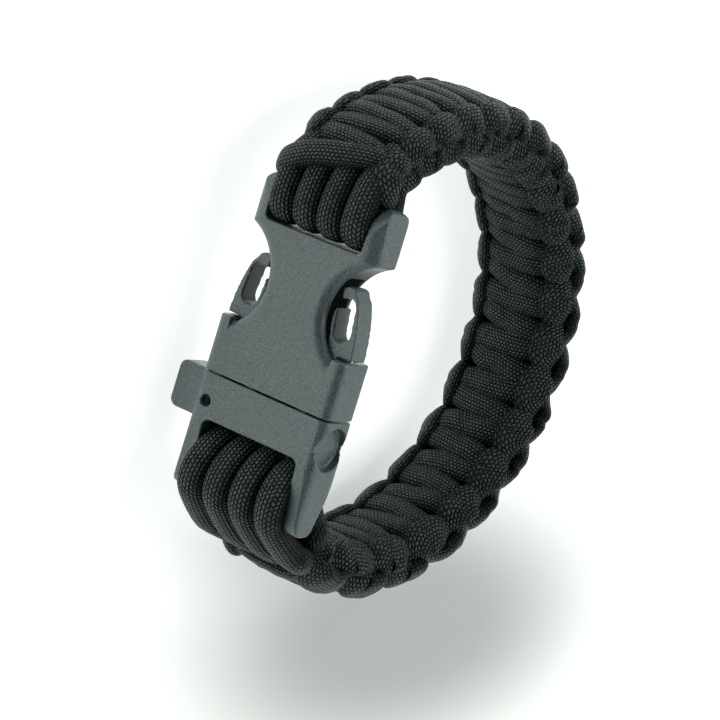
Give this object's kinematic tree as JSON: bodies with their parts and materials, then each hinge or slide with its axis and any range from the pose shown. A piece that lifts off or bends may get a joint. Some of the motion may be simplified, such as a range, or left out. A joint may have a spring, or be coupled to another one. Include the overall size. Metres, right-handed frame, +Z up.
{
  "type": "paracord bracelet",
  "caption": "Cobra-weave paracord bracelet, a closed loop lying on its side, with a side-release buckle that has a whistle built into its plug half.",
  "frame": {"origin": "middle of the footprint, on the floor, with the loop lying on its side", "axes": "+Z up, close to the loop's own axis; +X along the buckle from its socket half to its plug half; the buckle lies on the -Y side and the band on the +Y side"},
  "size_m": [0.0754, 0.0672, 0.0271],
  "materials": {
    "buckle_plastic": "satin-matte dark grey acetal with a fine moulded grain",
    "cord": "black braided nylon sheath with a soft sheen"
  },
  "bodies": {
    "root": {"socket": "buckle_plastic", "plug": "buckle_plastic", "weave": "cord", "socket_loop_1": "cord", "socket_loop_2": "cord", "socket_loop_3": "cord", "socket_loop_4": "cord", "plug_loop_1": "cord", "plug_loop_2": "cord", "plug_loop_3": "cord", "plug_loop_4": "cord"}
  },
  "joints": []
}
